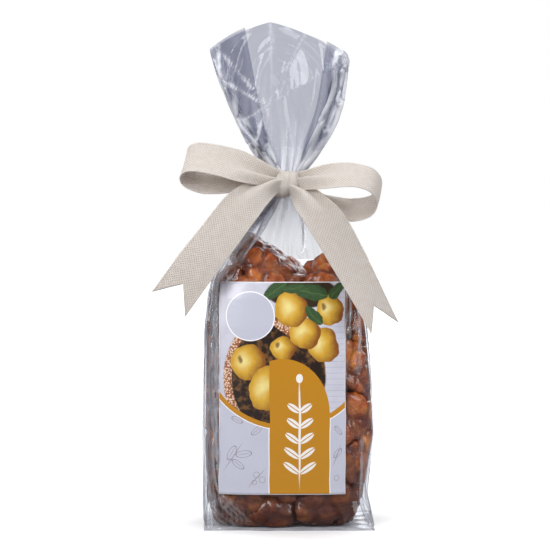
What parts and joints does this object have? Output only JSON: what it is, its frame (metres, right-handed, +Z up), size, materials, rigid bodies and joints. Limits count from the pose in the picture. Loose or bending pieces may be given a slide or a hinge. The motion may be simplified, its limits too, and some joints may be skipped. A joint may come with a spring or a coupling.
{
  "type": "bag of candied quince",
  "caption": "Clear block-bottom film bag packed with chunks of candied quince, gathered at the neck and tied with a woven ribbon bow, with a bent paper label on its front.",
  "frame": {"origin": "centre of the bag's flat base", "axes": "+Z up along the bag, -Y towards the label and the bow, +X to the right seen from the front"},
  "size_m": [0.1185, 0.0604, 0.2435],
  "materials": {
    "clear_film": "thin clear gloss film",
    "label_paper": "printed coated paper",
    "ribbon_cloth": "plain woven cream ribbon",
    "candied_quince": "sticky translucent amber"
  },
  "bodies": {
    "root": {"candied_quince_01": "candied_quince", "candied_quince_02": "candied_quince", "candied_quince_03": "candied_quince", "candied_quince_04": "candied_quince", "candied_quince_05": "candied_quince", "candied_quince_06": "candied_quince", "candied_quince_07": "candied_quince", "candied_quince_08": "candied_quince", "candied_quince_09": "candied_quince", "candied_quince_10": "candied_quince", "candied_quince_11": "candied_quince", "candied_quince_12": "candied_quince", "candied_quince_13": "candied_quince", "candied_quince_14": "candied_quince", "candied_quince_15": "candied_quince", "candied_quince_16": "candied_quince", "candied_quince_17": "candied_quince", "candied_quince_18": "candied_quince", "candied_quince_19": "candied_quince", "candied_quince_20": "candied_quince", "candied_quince_21": "candied_quince", "candied_quince_22": "candied_quince", "candied_quince_23": "candied_quince", "candied_quince_24": "candied_quince", "candied_quince_25": "candied_quince", "candied_quince_26": "candied_quince", "candied_quince_27": "candied_quince", "candied_quince_28": "candied_quince", "candied_quince_29": "candied_quince", "candied_quince_30": "candied_quince", "candied_quince_31": "candied_quince", "candied_quince_32": "candied_quince", "candied_quince_33": "candied_quince", "candied_quince_34": "candied_quince", "candied_quince_35": "candied_quince", "candied_quince_36": "candied_quince", "candied_quince_37": "candied_quince", "candied_quince_38": "candied_quince", "candied_quince_39": "candied_quince", "candied_quince_40": "candied_quince", "film_bag": "clear_film", "front_label": "label_paper", "ribbon": "ribbon_cloth"}
  },
  "joints": []
}
